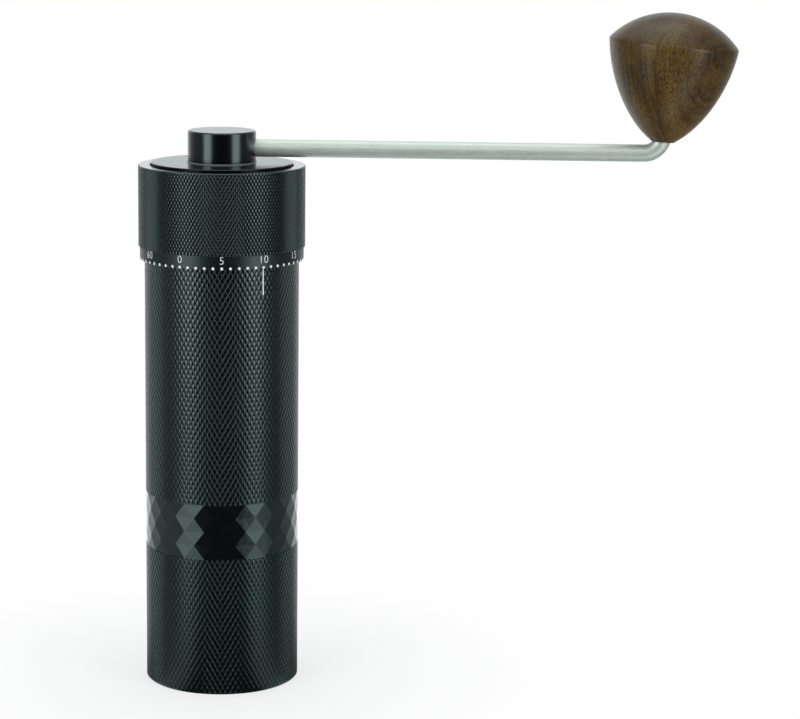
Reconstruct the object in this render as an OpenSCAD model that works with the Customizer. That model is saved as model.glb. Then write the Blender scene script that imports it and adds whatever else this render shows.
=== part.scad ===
// Hand crank coffee grinder: knurled body, turning adjustment dial, lift-off crank, screwed-on catch cup.
// The base stands on z = 0, the grinder's axis is Z, and the crank arm points along +X. Millimetres.

/* [Body] */
// Wall of the body between its bore and the crests of its knurl
body_wall = 2.85; // [2.5:0.05:4]
// Height of body that shows between the catch cup and the dial
body_h = 82.5; // [70:0.5:110]
// Depth of the spigot that screws into the catch cup
spigot_h = 7.5; // [6:0.1:9]
// Wall of that spigot
spigot_wall = 1.25; // [1:0.05:1.45]
// Wall of the threaded neck that carries the dial
neck_wall = 1.75; // [1.5:0.05:2.2]
// Width of the inner ledge that stops the ring burr
ledge_w = 1.45; // [1.2:0.05:2]
// Height of that ledge
ledge_h = 1.8; // [1.2:0.1:3]

/* [Catch cup] */
// Height of the knurled part of the cup
cup_h = 48.6; // [40:0.1:70]
// Wall of the cup below its thread
cup_wall = 2.3; // [1.8:0.1:3]
// Floor of the cup
cup_floor = 3; // [2:0.1:6]
// Depth of the threaded mouth of the cup
cup_mouth_h = 9.9; // [9.2:0.1:12]
// Chamfer round the base
base_chamfer = 0.6; // [0.2:0.1:1.5]

/* [Facetted band] */
// Height of the band of facets at the top of the cup
band_h = 19.3; // [12:0.1:30]
// Rows of facets up the band
band_rows = 4; // [2:2:8]
// Facets round the band
band_facets = 23; // [18:1:36]
// How far the corners of the facets lie below the knurl crests
band_inset = 0.1; // [0:0.05:0.3]
// Turn of the band about the axis, in degrees
band_turn = -83.4; // [-180:0.1:180]

/* [Adjustment dial] */
// Height of the dial
dial_h = 32.8; // [29.5:0.1:40]
// Wall of the dial at its number band
dial_wall = 1.3; // [1.1:0.05:2.5]
// How far the dial's knurl stands proud of its number band
dial_knurl = 0.5; // [0.2:0.05:0.8]
// Height of the plain number band
number_band_h = 4.7; // [3:0.1:10]
// Height of the dial's inner flange, from the click plate to the top
flange_h = 11.2; // [9:0.1:13]
// Width of the ledge in the mouth that the lid drops on
mouth_ledge = 0.95; // [0.7:0.05:1.5]
// Chamfer round the top of the dial
dial_chamfer = 0.55; // [0.2:0.05:1]
// Height of body shoulder that the dial's skirt still covers at rest
skirt_cover = 1.37; // [0.5:0.01:2.5]
// Pitch of the adjustment thread
thread_pitch = 1; // [0.5:0.05:1.25]
// Clicks in one turn of the dial
clicks = 60; // [36:2:72]
// Clicks from touching burrs to the coarsest setting
clicks_total = 240; // [120:10:260]
// Clicks from touching burrs at which the dial rests
clicks_rest = 10; // [2:1:30]
// Thickness of the click plate
click_t = 1; // [0.6:0.1:1.4]
// Radius of the click holes
click_hole_r = 0.8; // [0.5:0.05:0.9]
// Thickness of the slide washer under the bridge
washer_t = 0.4; // [0.3:0.1:1]

/* [Bearing bridge] */
// Height of the bridge's arms
bridge_h = 7; // [6:0.1:8]
// Width of the bridge's arms
bridge_arm_w = 6; // [5:0.1:8]
// Number of arms on the bridge and on the lower bearing frame
arms = 3; // [3:1:4]
// Wall of the bearing housings
housing_wall = 3; // [2:0.1:4]
// Radius of the click balls
click_ball_r = 1.1; // [0.9:0.05:1.3]
// Depth of the click ball holes in the arms
click_bore_h = 5; // [4:0.1:5.5]
// Wire radius of the click springs
click_wire_r = 0.17; // [0.12:0.01:0.2]
// Coils of a click spring
click_coils = 4; // [3:1:6]

/* [Lower bearing frame] */
// Height of the frame
frame_h = 6.7; // [6.2:0.1:9]
// Width of the frame's arms
frame_arm_w = 4.5; // [3:0.1:6]
// Wall of the frame's rim
frame_rim = 1.3; // [1:0.1:2]

/* [Bearings and shaft] */
// Diameter of the shaft and bore of both bearings
shaft_d = 8; // [7:0.1:8.6]
// Outside diameter of both bearings
bearing_d = 16; // [15:0.1:18]
// Width of both bearings
bearing_w = 5; // [4:0.1:5]
// Radius of the bearing balls
bearing_ball_r = 1; // [0.8:0.05:1.1]
// Balls in each bearing
bearing_balls = 9; // [6:1:10]
// Thickness of the small circlips
clip_t = 0.7; // [0.5:0.05:0.9]
// Height of the shaft's shoulder under the upper bearing
shoulder_h = 2.5; // [1.5:0.1:4]
// Diameter of the threaded end that carries the burr nut
stud_d = 6; // [5:0.1:6.2]

/* [Burrs] */
// Outside diameter of the ring burr, which sets the bore of the body
burr_d = 48; // [46:0.5:54]
// Height of both burrs
burr_h = 21; // [19:0.1:24]
// Largest radius of the cone burr
cone_r = 20.2; // [19:0.1:20.6]
// Narrowing of the fine grinding zone, in radius
fine_taper = 2.6; // [1.5:0.1:3.5]
// Height of the fine grinding zone
fine_h = 9; // [6:0.1:11]
// Fine teeth round the cone burr
fine_teeth = 48; // [24:2:60]
// Depth of the fine teeth
fine_depth = 0.7; // [0.4:0.05:1]
// Coarse feeding teeth round the cone burr
feed_teeth = 7; // [5:1:9]
// Radius of the cone burr at its top
feed_top_r = 7.6; // [7:0.1:9]
// Turn of the feeding teeth over their height, in degrees
feed_twist = 75; // [40:1:100]
// Grinding gap between the two burrs at rest, measured across the axis
burr_gap = 0.15; // [0.12:0.01:0.3]
// Height of the burr retaining ring
retainer_h = 3; // [2:0.1:3.2]

/* [Lid] */
// Thickness of the lid's plate
lid_t = 2.2; // [1.6:0.1:3]
// How far the lid stands above the dial
lid_rise = 0.9; // [0.3:0.05:1.5]
// Depth of the lid's skirt, which carries its seal
lid_skirt_h = 4.5; // [4:0.1:5]
// Wall of that skirt
lid_skirt_wall = 2.4; // [2:0.1:3.5]
// Depth of the boss round the lid's bush
lid_boss_h = 3.5; // [2.5:0.1:4]
// Cord radius of the lid's seal ring
seal_r = 0.8; // [0.6:0.05:0.9]

/* [Crank] */
// Diameter of the crank hub
hub_d = 23.7; // [21:0.1:28]
// Height of the crank hub above the lid
hub_h = 11; // [10:0.1:16]
// Diameter of the hub's stem, which passes through the lid
stem_d = 15; // [14:0.1:16]
// Wall of that stem round the drive socket
stem_wall = 2; // [1.6:0.1:2.2]
// Diameter of the crank arm's rod
arm_d = 6; // [5:0.1:7]
// Height of the rod's centre above the lid
arm_rise = 4.93; // [4.2:0.01:6]
// Distance from the grinder's axis to the corner of the arm's bend
arm_l = 151.9; // [120:0.1:180]
// How much thinner the rod is turned where the knob runs on it, in radius
spindle_step = 0.15; // [0.1:0.01:0.5]
// Radius of the arm's bend at the rod's centre
bend_r = 6.5; // [5.5:0.1:9]
// Lean of the knob away from the grinder, in degrees
knob_lean = 5.2; // [0:0.1:12]
// Radius of the pin that locks the rod in the hub
arm_pin_r = 1; // [0.8:0.1:1.2]

/* [Knob] */
// Diameter of the knob at its rim
knob_d = 44.6; // [38:0.1:52]
// Height of the knob from its lower end to its rim
knob_side_h = 34.4; // [32:0.1:42]
// Height of the knob's dome above its rim
knob_dome_h = 10.5; // [7:0.1:16]
// Length of the arm's bend that the knob's mouth hides
knob_overlap = 2.2; // [1:0.1:2.4]
// Flare of the knob's side at its lower end, in degrees from its axis
knob_flare = 55.2; // [45:0.1:60]
// Flare of the knob's side at its rim, in degrees from its axis
knob_rim_flare = 6; // [0:0.1:15]
// How far the lower flare pulls the side's curve
knob_flare_pull = 11.4; // [8:0.1:13]
// How far the rim's flare pulls the side's curve
knob_rim_pull = 13.2; // [9:0.1:16]
// Wall of the knob's brass sleeve
sleeve_wall = 1; // [0.7:0.05:1.4]
// Length of that sleeve
sleeve_l = 24; // [14:0.1:26]

/* [Fits] */
// Radial clearance of turning and sliding fits
fit = 0.05; // [0.02:0.01:0.1]
// Radial clearance of screwed fits
screw_fit = 0.08; // [0.04:0.01:0.1]
// Gap between pieces that pass each other
gap = 0.4; // [0.3:0.05:0.6]

/* [Hidden] */
$fn = 72;

// A cut runs this far past a face so that it clears it
over = 1;

// Radii, from the burr outwards
burr_r = burr_d / 2;
bore_r = burr_r + fit;
body_r = bore_r + body_wall;
neck_r = bore_r + neck_wall;
spigot_r = bore_r + spigot_wall;
ledge_r = bore_r - ledge_w;
skirt_r = body_r + 0.75 * gap;
band_r = skirt_r + dial_wall;
dial_r = band_r + dial_knurl;
mouth_r = bore_r + mouth_ledge;
click_r = (bore_r + skirt_r) / 2 - 0.22;

// Heights, from the base upwards
seam_z = cup_h + band_h;
dial_z = seam_z + body_h;
dial_top = dial_z + dial_h;
lid_top = dial_top + lid_rise;
hub_top = lid_top + hub_h;
arm_z = lid_top + arm_rise;

// Travel of the dial, the bridge and the shaft
travel_up = clicks_rest / clicks * thread_pitch;
travel_down = (clicks_total - clicks_rest) / clicks * thread_pitch;

// Heights under the dial's flange
plate_top = dial_top - flange_h;
bridge_top = plate_top - click_t;
bridge_z = bridge_top - bridge_h;
thread_top = bridge_z - washer_t;
shoulder_z = dial_z + skirt_cover;
thread_z = shoulder_z + travel_down + gap;
neck_top = bridge_top - travel_down - gap;
slot_z = bridge_z - travel_down - gap;

// Heights in the lower end of the body
spigot_z = seam_z - spigot_h;
retainer_z = spigot_z + 0.5;
burr_z = retainer_z + retainer_h;
ledge_z = burr_z + burr_h;
frame_z = ledge_z + ledge_h;

// Bearings
shaft_r = shaft_d / 2;
bearing_r = bearing_d / 2;
pitch_r = (shaft_r + bearing_r) / 2;
race_play = 0.04;
race_gap = 0.65 * bearing_ball_r;
inner_race_r = pitch_r - race_gap;
outer_race_r = pitch_r + race_gap;
housing_r = bearing_r + housing_wall;
housing_lip_r = bearing_r - 1.4;
upper_bearing_z = bridge_z + 1.5;
lower_bearing_z = frame_z + 1;
housing_top = upper_bearing_z + bearing_w + clip_t + 1;

// Burrs
cone_z = burr_z - 0.2;
cone_top = cone_z + burr_h + 0.5;
fine_scale = (cone_r - fine_taper) / cone_r;
ring_r = cone_r + burr_gap + fine_depth;
neck_hole_r = ring_r - fine_taper;
flare_r = burr_r - 2.4;
nut_recess_h = 4.2;
nut_recess_z = cone_z + nut_recess_h;
burr_washer_t = 1;
washer_z = nut_recess_z - burr_washer_t;
nut_h = 5;
nut_af = stud_d + 4;
shaft_flat = 0.75;

// Lid
lid_r = mouth_r - gap;
lid_z = lid_top - lid_t;
mouth_z = lid_z - 0.25 * gap;
skirt_out_r = bore_r - 0.85;
seal_mid_r = bore_r - 0.1 - seal_r;
seal_z = lid_z - lid_skirt_h / 2 - 0.2;
stem_r = stem_d / 2;
bush_wall = 1.4;
bush_r = stem_r + fit + bush_wall;
bush_flange_t = 0.6;
boss_z = lid_z - lid_boss_h;
lid_clip_z = boss_z - bush_flange_t - 0.2 - clip_t;

// Crank
hub_z = lid_top + 0.05;
stem_z = housing_top + gap;
socket_r = stem_r - stem_wall;
socket_top = arm_z - arm_d / 2 - 0.6;
hex_af = shaft_d - 1;
hex_z = upper_bearing_z + bearing_w + clip_t + 0.6;
hex_top = socket_top - 1.2;
shaft_top = hex_top - 0.6;
arm_r = arm_d / 2;
spindle_r = arm_r - spindle_step;
arm_start = 3;
pin_x = (stem_r + hub_d / 2) / 2 - 1.2;
bend_angle = 90 - knob_lean;
bend_l = bend_r * tan(bend_angle / 2);

// Knob, in distances along its own axis from the corner of the bend
knob_z = bend_l - knob_overlap;
sleeve_z = bend_l + gap;
knob_clip_z = sleeve_z + sleeve_l + 0.2;
arm_end = knob_clip_z + clip_t + 1.2;
knob_bore_r = arm_r + fit + sleeve_wall;
knob_bore_end = arm_end + 1.2;
knob_r = knob_d / 2;
knob_lip = 0.2;
knob_neck_s = 0.92;
knob_neck_r = knob_bore_r + 0.52;
dome_r = (knob_r * knob_r + knob_dome_h * knob_dome_h) / (2 * knob_dome_h);

// ---------- shared shapes ----------

module tube(r_out, r_in, h) {
    difference() {
        cylinder(r = r_out, h = h);
        translate([0, 0, -over]) cylinder(r = r_in, h = h + 2 * over);
    }
}

module ring_of(n, r, turn = 0) {
    for (i = [0 : n - 1]) {
        rotate([0, 0, turn + i * 360 / n]) translate([r, 0, 0]) children();
    }
}

// Disc with a chamfer of c on its upper edge
module chamfered_disc(r, h, c) {
    cylinder(r = r, h = h - c);
    translate([0, 0, h - c]) cylinder(r1 = r, r2 = r - c, h = c);
}

// Spring clip with an open mouth
module circlip(r_out, r_in, mouth) {
    difference() {
        tube(r_out, r_in, clip_t);
        translate([0, -mouth / 2, -over]) cube([r_out + over, mouth, clip_t + 2 * over]);
    }
}

module hexagon(af, h) {
    cylinder(r = af / sqrt(3), h = h, $fn = 6);
}

// ---------- bearing pieces, each standing on z = 0 ----------

module race(r_out, r_in) {
    difference() {
        tube(r_out, r_in, bearing_w);
        translate([0, 0, bearing_w / 2]) rotate_extrude() translate([pitch_r, 0])
            circle(r = bearing_ball_r + race_play);
    }
}

module bearing_shields() {
    shield_t = 0.3;
    for (z = [0, bearing_w - shield_t]) {
        translate([0, 0, z]) tube(outer_race_r, inner_race_r + 0.15, shield_t);
    }
}

module bearing_ball_set(r) {
    translate([0, 0, bearing_w / 2]) ring_of(bearing_balls, pitch_r) sphere(r = r);
}

// Ring drilled from the side for each ball
module bearing_cage() {
    cage_h = 2 * bearing_ball_r + 0.8;
    cage_w = 0.45 * bearing_ball_r;
    translate([0, 0, bearing_w / 2]) difference() {
        translate([0, 0, -cage_h / 2]) tube(pitch_r + cage_w, pitch_r - cage_w, cage_h);
        ring_of(bearing_balls, pitch_r) rotate([0, 90, 0])
            cylinder(r = bearing_ball_r + race_play, h = 4 * cage_w, center = true);
    }
}

// Housing for a bearing, bored from above, with a lip below and a clip groove above
module housing_bore(lip_z, seat_z) {
    translate([0, 0, lip_z - over]) cylinder(r = housing_lip_r, h = seat_z - lip_z + 2 * over);
    translate([0, 0, seat_z]) cylinder(r = bearing_r, h = bearing_w + clip_t + 2 * over + 2);
    translate([0, 0, seat_z + bearing_w]) cylinder(r = bearing_r + 0.5, h = clip_t);
}

module spokes(r_in, r_out, w, h) {
    for (i = [0 : arms - 1]) {
        rotate([0, 0, 90 + i * 360 / arms]) translate([r_in, -w / 2, 0]) cube([r_out - r_in, w, h]);
    }
}

// ---------- body ----------

module body_tube() {
    color("#1b1f20") difference() {
        union() {
            translate([0, 0, spigot_z]) cylinder(r = spigot_r, h = seam_z - spigot_z + over);
            translate([0, 0, seam_z]) cylinder(r = body_r, h = shoulder_z - seam_z);
            translate([0, 0, shoulder_z - over]) cylinder(r = neck_r, h = neck_top - shoulder_z + over);
        }
        translate([0, 0, spigot_z - over]) cylinder(r = bore_r, h = ledge_z - spigot_z + over);
        translate([0, 0, ledge_z - over]) cylinder(r = ledge_r, h = ledge_h + 2 * over);
        translate([0, 0, frame_z]) cylinder(r = bore_r, h = neck_top - frame_z + over);
        translate([0, 0, frame_z + frame_h]) cylinder(r = bore_r + 0.9, h = clip_t);
        translate([0, 0, slot_z]) spokes(ledge_r, body_r, bridge_arm_w + 2 * fit, neck_top);
        burr_pin_set();
    }
}

// Ring burr: a fine zone that opens downwards and a feeding zone that opens upwards
module outer_burr() {
    feed_h = burr_h - fine_h;
    lead_in = 0.3;
    color("#8d8f90") difference() {
        translate([0, 0, burr_z]) cylinder(r = burr_r, h = burr_h);
        translate([0, 0, burr_z]) linear_extrude(
            height = fine_h, twist = 8, scale = neck_hole_r / ring_r, slices = 3
        ) tooth_ring(ring_r, fine_depth, fine_teeth);
        translate([0, 0, burr_z + fine_h]) linear_extrude(
            height = feed_h, twist = -20, scale = flare_r / neck_hole_r, slices = 4
        ) tooth_ring(neck_hole_r, 2 * fine_depth, 2 * feed_teeth);
        translate([0, 0, burr_z - over]) cylinder(r = ring_r + lead_in, h = over + lead_in);
        burr_pin_set();
    }
}

// Saw-toothed outline: n teeth of the given depth inside radius r
module tooth_ring(r, depth, n) {
    polygon([
        for (i = [0 : n - 1]) for (k = [0, 1])
            let (a = (i + 0.72 * k) * 360 / n, q = r - depth * (1 - k))
            [q * cos(a), q * sin(a)]
    ]);
}

module burr_pin_set() {
    pin_r = 0.6;
    pin_l = 2.4;
    ring_of(2, burr_r - pin_r - 0.3) translate([0, 0, ledge_z - pin_l / 2]) cylinder(r = pin_r, h = pin_l);
}

module burr_pins() {
    color("silver") burr_pin_set();
}

module burr_retaining_ring() {
    notch_w = 2.4;
    color("#26292a") translate([0, 0, retainer_z]) difference() {
        tube(bore_r, ring_r + 0.6, retainer_h);
        ring_of(4, bore_r, 45) translate([0, 0, -0.01]) cube([4, notch_w, 2.4], center = true);
    }
}

module lower_bearing_frame() {
    hub_h_low = bearing_w + clip_t + 1.6;
    color("#9a9d9e") difference() {
        translate([0, 0, frame_z]) {
            tube(bore_r, bore_r - frame_rim, frame_h);
            cylinder(r = housing_r, h = hub_h_low);
            spokes(0, bore_r - frame_rim / 2, frame_arm_w, frame_h - 1);
        }
        housing_bore(frame_z, lower_bearing_z);
    }
}

module frame_circlip() {
    color("#3b3d3e") translate([0, 0, frame_z + frame_h]) circlip(bore_r + 0.9, bore_r - 1, 12);
}

module lower_bearing_outer_ring() {
    color("silver") translate([0, 0, lower_bearing_z]) race(bearing_r, outer_race_r);
}

module lower_bearing_shields() {
    color("gray") translate([0, 0, lower_bearing_z]) bearing_shields();
}

module lower_bearing_circlip() {
    color("#3b3d3e") translate([0, 0, lower_bearing_z + bearing_w])
        circlip(bearing_r + 0.5, bearing_r - 1, 4);
}

// The shaft slides through this ring as the burr gap is set
module lower_bearing_inner_ring() {
    color("silver") translate([0, 0, lower_bearing_z]) race(inner_race_r, shaft_r + fit / 2);
}

module lower_bearing_balls() {
    color("white") translate([0, 0, lower_bearing_z]) bearing_ball_set(bearing_ball_r);
}

module lower_bearing_cage() {
    color("goldenrod") translate([0, 0, lower_bearing_z]) bearing_cage();
}

// ---------- bridge: keyed in the body's slots, held in the dial ----------

module at_clicks() {
    ring_of(arms, click_r, 90) children();
}

module bearing_bridge() {
    color("#9a9d9e") difference() {
        union() {
            translate([0, 0, bridge_z]) cylinder(r = housing_r, h = housing_top - bridge_z);
            intersection() {
                translate([0, 0, bridge_z]) spokes(0, body_r + over, bridge_arm_w, bridge_h);
                translate([0, 0, bridge_z]) cylinder(r = body_r, h = bridge_h);
            }
        }
        housing_bore(bridge_z, upper_bearing_z);
        translate([0, 0, bridge_top - click_bore_h]) at_clicks()
            cylinder(r = click_ball_r + fit, h = click_bore_h + over);
    }
}

// Wire swept along a helix: rings of corner points joined into one closed skin
module coil_spring(coil_r, wire_r, length, coils) {
    sides = 6;
    steps = coils * 10;
    rise = length - 2 * wire_r;
    points = [
        for (i = [0 : steps]) for (k = [0 : sides - 1])
            let (a = i * 360 * coils / steps, b = k * 360 / sides, q = coil_r + wire_r * cos(b))
            [q * cos(a), q * sin(a), wire_r + rise * i / steps + wire_r * sin(b)]
    ];
    walls = [
        for (i = [0 : steps - 1]) for (k = [0 : sides - 1])
            let (m = i * sides, n = (k + 1) % sides)
            [m + n, m + sides + n, m + sides + k, m + k]
    ];
    first = [for (k = [0 : sides - 1]) k];
    last = [for (k = [sides - 1 : -1 : 0]) steps * sides + k];
    polyhedron(points = points, faces = concat(walls, [first, last]));
}

module click_springs() {
    spring_h = click_bore_h - 2 * click_ball_r;
    color("silver") translate([0, 0, bridge_top - click_bore_h]) at_clicks()
        coil_spring(click_ball_r - click_wire_r - 0.1, click_wire_r, spring_h, click_coils);
}

module click_balls() {
    color("white") translate([0, 0, bridge_top - click_ball_r]) at_clicks() sphere(r = click_ball_r);
}

module upper_bearing_outer_ring() {
    color("silver") translate([0, 0, upper_bearing_z]) race(bearing_r, outer_race_r);
}

module upper_bearing_shields() {
    color("gray") translate([0, 0, upper_bearing_z]) bearing_shields();
}

module upper_bearing_circlip() {
    color("#3b3d3e") translate([0, 0, upper_bearing_z + bearing_w])
        circlip(bearing_r + 0.5, bearing_r - 1, 4);
}

module upper_bearing_balls() {
    color("white") translate([0, 0, upper_bearing_z]) bearing_ball_set(bearing_ball_r);
}

module upper_bearing_cage() {
    color("goldenrod") translate([0, 0, upper_bearing_z]) bearing_cage();
}

// ---------- dial ----------

module adjustment_dial() {
    knurl_z = number_band_h;
    color("#1b1f20") translate([0, 0, dial_z]) difference() {
        union() {
            cylinder(r = band_r, h = knurl_z);
            translate([0, 0, knurl_z]) chamfered_disc(dial_r, dial_h - knurl_z, dial_chamfer);
        }
        translate([0, 0, -over]) cylinder(r = skirt_r, h = plate_top - dial_z + over);
        cylinder(r = bore_r, h = dial_h);
        translate([0, 0, mouth_z - dial_z]) cylinder(r = mouth_r, h = dial_h);
    }
}

module dial_thread_ring() {
    color("#b08d3c") translate([0, 0, thread_z]) tube(skirt_r, neck_r + screw_fit, thread_top - thread_z);
}

module click_plate() {
    color("silver") translate([0, 0, bridge_top]) difference() {
        tube(skirt_r, bore_r + 0.15, click_t);
        ring_of(clicks, click_r, 90)
            translate([0, 0, -over]) cylinder(r = click_hole_r, h = click_t + 2 * over);
    }
}

module slide_washer() {
    color("white") translate([0, 0, thread_top]) tube(skirt_r, neck_r + screw_fit, washer_t);
}

// ---------- shaft ----------

module drive_shaft() {
    stud_l = 3;
    color("#b9bcbd") difference() {
        union() {
            translate([0, 0, nut_recess_z]) cylinder(r = shaft_r, h = hex_z - nut_recess_z);
            translate([0, 0, upper_bearing_z - shoulder_h]) cylinder(r = inner_race_r, h = shoulder_h);
            translate([0, 0, cone_z - stud_l])
                cylinder(r = stud_d / 2, h = nut_recess_z - cone_z + stud_l + over);
            intersection() {
                translate([0, 0, hex_z - over]) hexagon(hex_af, shaft_top - hex_z + over);
                translate([0, 0, hex_z - over]) cylinder(r = shaft_r, h = shaft_top - hex_z + over);
            }
        }
        for (side = [-1, 1]) {
            translate([side * 2 * shaft_r - shaft_r - side * shaft_flat, -shaft_r, nut_recess_z - over])
                cube([2 * shaft_r, 2 * shaft_r, cone_top - nut_recess_z + over]);
        }
        translate([0, 0, upper_bearing_z + bearing_w]) tube(shaft_r + over, shaft_r - 0.4, clip_t);
    }
}

module upper_bearing_inner_ring() {
    color("silver") translate([0, 0, upper_bearing_z]) race(inner_race_r, shaft_r);
}

module shaft_circlip() {
    color("#3b3d3e") translate([0, 0, upper_bearing_z + bearing_w])
        circlip(inner_race_r + 0.3, shaft_r - 0.4, 1.4 * shaft_r);
}

// Cone burr: fine teeth round its foot, feeding teeth that wind up to its top
module cone_burr() {
    fine_top_r = cone_r * fine_scale;
    feed_h = cone_top - cone_z - fine_h;
    feed_depth = 3.2;
    color("#8d8f90") difference() {
        union() {
            translate([0, 0, cone_z]) linear_extrude(
                height = fine_h, twist = -8, scale = fine_scale, slices = 3
            ) tooth_ring(cone_r, fine_depth, fine_teeth);
            translate([0, 0, cone_z + fine_h - 0.2]) linear_extrude(
                height = feed_h + 0.2, twist = feed_twist, scale = feed_top_r / fine_top_r, slices = 12
            ) feed_outline(fine_top_r - fine_depth, feed_depth, feed_teeth);
        }
        translate([0, 0, cone_z - over]) cylinder(r = 8.6, h = nut_recess_h + over);
        intersection() {
            translate([0, 0, cone_z]) cylinder(r = shaft_r, h = cone_top - cone_z + over);
            flat_x = shaft_r - shaft_flat;
            translate([-flat_x, -shaft_r, cone_z]) cube([2 * flat_x, 2 * shaft_r, cone_top - cone_z + over]);
        }
    }
}

// Hooked teeth: each rises slowly and drops steeply
module feed_outline(r, depth, n) {
    polygon([
        for (i = [0 : n - 1]) for (k = [[0, 0], [0.45, 0.4], [0.8, 1], [0.92, 0.95]])
            let (a = (i + k[0]) * 360 / n, q = r - depth * (1 - k[1]))
            [q * cos(a), q * sin(a)]
    ]);
}

module burr_washer() {
    color("silver") translate([0, 0, washer_z]) tube(stud_d / 2 + 4.4, stud_d / 2, burr_washer_t);
}

module burr_nut() {
    color("#b9bcbd") translate([0, 0, washer_z - nut_h]) difference() {
        intersection() {
            hexagon(nut_af, nut_h);
            chamfered_disc(nut_af / sqrt(3) - 0.1, nut_h, 0.5);
        }
        translate([0, 0, -over]) cylinder(r = stud_d / 2, h = nut_h + 2 * over);
    }
}

// ---------- crank ----------

// Places things along the knob's axis, from the corner of the arm's bend
module on_knob_axis() {
    translate([arm_l, 0, arm_z]) rotate([0, knob_lean, 0]) children();
}

module crank_hub() {
    drum_h = hub_top - hub_z;
    edge = 0.45;
    color("#1b1f20") difference() {
        union() {
            translate([0, 0, hub_z]) {
                cylinder(r1 = hub_d / 2 - edge, r2 = hub_d / 2, h = edge);
                translate([0, 0, edge]) chamfered_disc(hub_d / 2, drum_h - edge, edge);
            }
            translate([0, 0, stem_z]) cylinder(r = stem_r, h = hub_z - stem_z + over);
        }
        translate([0, 0, stem_z - over]) cylinder(r = socket_r, h = socket_top - stem_z + over);
        translate([arm_start, 0, arm_z]) rotate([0, 90, 0]) cylinder(r = arm_r, h = hub_d);
        translate([0, 0, lid_clip_z]) tube(stem_r + over, stem_r - 0.6, clip_t);
        arm_pin_shape();
    }
}

module drive_socket() {
    color("#b9bcbd") difference() {
        translate([0, 0, stem_z]) cylinder(r = socket_r, h = socket_top - stem_z);
        translate([0, 0, stem_z - over]) hexagon(hex_af + 2 * fit, hex_top - stem_z + over);
    }
}

module crank_arm() {
    straight = arm_l - bend_l - arm_start;
    color("#c9ccca") difference() {
        union() {
            translate([arm_start, 0, arm_z]) rotate([0, 90, 0]) cylinder(r = arm_r, h = straight);
            translate([arm_l - bend_l, 0, arm_z + bend_r]) rotate([90, 0, 0]) rotate([0, 0, -90]) {
                rotate_extrude(angle = bend_angle) translate([bend_r, 0]) circle(r = arm_r);
                rotate([0, 0, bend_angle]) translate([bend_r, 0, 0]) rotate([-90, 0, 0])
                    translate([0, 0, -0.4]) cylinder(r = spindle_r, h = arm_end - bend_l + 0.4);
            }
        }
        on_knob_axis() translate([0, 0, knob_clip_z]) tube(spindle_r + over, spindle_r - 0.5, clip_t);
        arm_pin_shape();
    }
}

module arm_pin_shape() {
    pin_l = arm_rise + arm_r;
    translate([pin_x, 0, hub_z + 0.4]) cylinder(r = arm_pin_r, h = pin_l);
    translate([pin_x, 0, hub_z - over]) cylinder(r = arm_pin_r, h = over + 0.5);
}

module arm_pin() {
    color("silver") intersection() {
        arm_pin_shape();
        translate([pin_x, 0, hub_z + 0.4]) cylinder(r = 2 * arm_pin_r, h = hub_h);
    }
}

module lid_circlip() {
    color("#3b3d3e") translate([0, 0, lid_clip_z]) circlip(stem_r + 1.6, stem_r - 0.6, 1.3 * stem_r);
}

module knob_circlip() {
    color("#3b3d3e") on_knob_axis() translate([0, 0, knob_clip_z])
        circlip(knob_bore_r - 0.1, spindle_r - 0.5, 1.4 * spindle_r);
}

// ---------- lid ----------

module lid_plate() {
    edge = 0.3;
    boss_r = bush_r + 1.8;
    color("#1b1f20") difference() {
        union() {
            translate([0, 0, lid_z]) chamfered_disc(lid_r, lid_t, edge);
            translate([0, 0, lid_z - lid_skirt_h])
                tube(skirt_out_r, skirt_out_r - lid_skirt_wall, lid_skirt_h + over);
            translate([0, 0, boss_z]) cylinder(r = boss_r, h = lid_boss_h + over);
        }
        translate([0, 0, boss_z - over]) cylinder(r = bush_r, h = lid_top - boss_z + 2 * over);
        translate([0, 0, seal_z - seal_r]) tube(skirt_out_r + over, seal_mid_r - seal_r, 2 * seal_r);
    }
}

module lid_bush() {
    color("white") difference() {
        union() {
            translate([0, 0, boss_z]) cylinder(r = bush_r, h = lid_top - boss_z);
            translate([0, 0, boss_z - bush_flange_t]) cylinder(r = bush_r + 1.2, h = bush_flange_t);
        }
        translate([0, 0, boss_z - over]) cylinder(r = stem_r + fit, h = lid_top - boss_z + 2 * over);
    }
}

module lid_seal() {
    color("#202020") translate([0, 0, seal_z])
        rotate_extrude() translate([seal_mid_r, 0]) circle(r = seal_r);
}

// ---------- knob ----------

function bezier(a, b, c, d, t) =
    pow(1 - t, 3) * a + 3 * pow(1 - t, 2) * t * b + 3 * (1 - t) * t * t * c + pow(t, 3) * d;

// Half profile of the knob: lip, curved side up to the rim, then the dome
function knob_profile(steps) =
    let (
        neck = [knob_neck_r, knob_neck_s],
        neck_pull = neck + knob_flare_pull * [sin(knob_flare), cos(knob_flare)],
        rim = [knob_r, knob_side_h],
        rim_pull = rim - knob_rim_pull * [sin(knob_rim_flare), cos(knob_rim_flare)],
        half_angle = asin(knob_r / dome_r)
    )
    concat(
        [[0, 0], [knob_bore_r + knob_lip, 0]],
        [for (i = [0 : steps]) bezier(neck, neck_pull, rim_pull, rim, i / steps)],
        [for (i = [1 : steps])
            let (a = half_angle * (1 - i / steps))
            [dome_r * sin(a), knob_side_h + knob_dome_h - dome_r * (1 - cos(a))]]
    );

module crank_knob() {
    color("#5a3a22") on_knob_axis() difference() {
        translate([0, 0, knob_z]) rotate_extrude() polygon(knob_profile(18));
        translate([0, 0, knob_z - over]) cylinder(r = knob_bore_r, h = knob_bore_end - knob_z + over);
    }
}

module knob_sleeve() {
    color("#b08d3c") on_knob_axis() translate([0, 0, sleeve_z]) tube(knob_bore_r, spindle_r + fit, sleeve_l);
}

// ---------- catch cup ----------

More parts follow.
